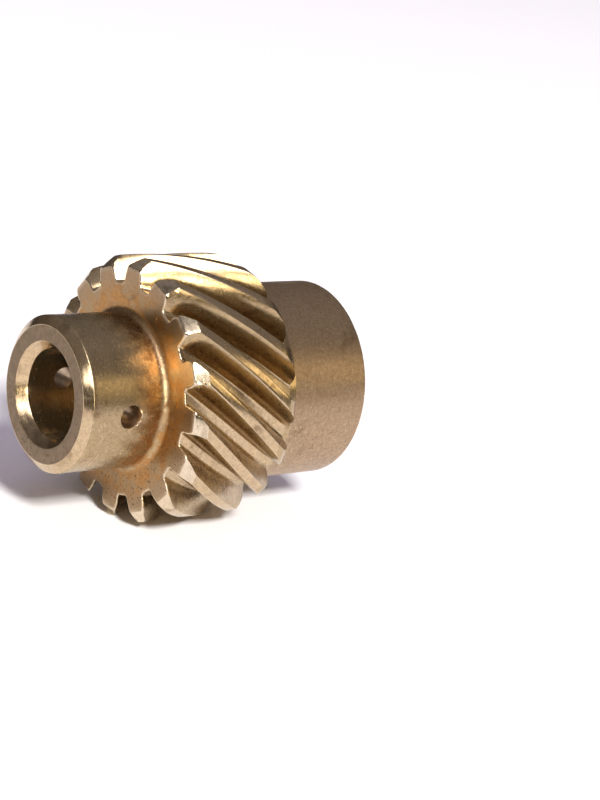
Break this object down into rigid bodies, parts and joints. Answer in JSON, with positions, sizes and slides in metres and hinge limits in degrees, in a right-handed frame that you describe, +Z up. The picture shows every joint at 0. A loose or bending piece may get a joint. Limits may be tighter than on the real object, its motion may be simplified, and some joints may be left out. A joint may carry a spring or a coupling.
{
  "type": "helical drive gear",
  "caption": "Bronze helical gear with a slim cross-drilled pin hub and a thick rear hub; it is pinned to a shaft and drives a crossed shaft.",
  "frame": {"origin": "on the bore axis, halfway along the toothed band", "axes": "+Y along the bore from the pin hub to the rear hub, +X along the cross-pin hole, +Z up with the gear lying on its teeth"},
  "size_m": [0.0388, 0.0474, 0.0388],
  "materials": {
    "bronze": "turned and hobbed bronze, bare, lightly oil stained"
  },
  "bodies": {
    "root": {"drive_gear": "bronze"}
  },
  "joints": []
}
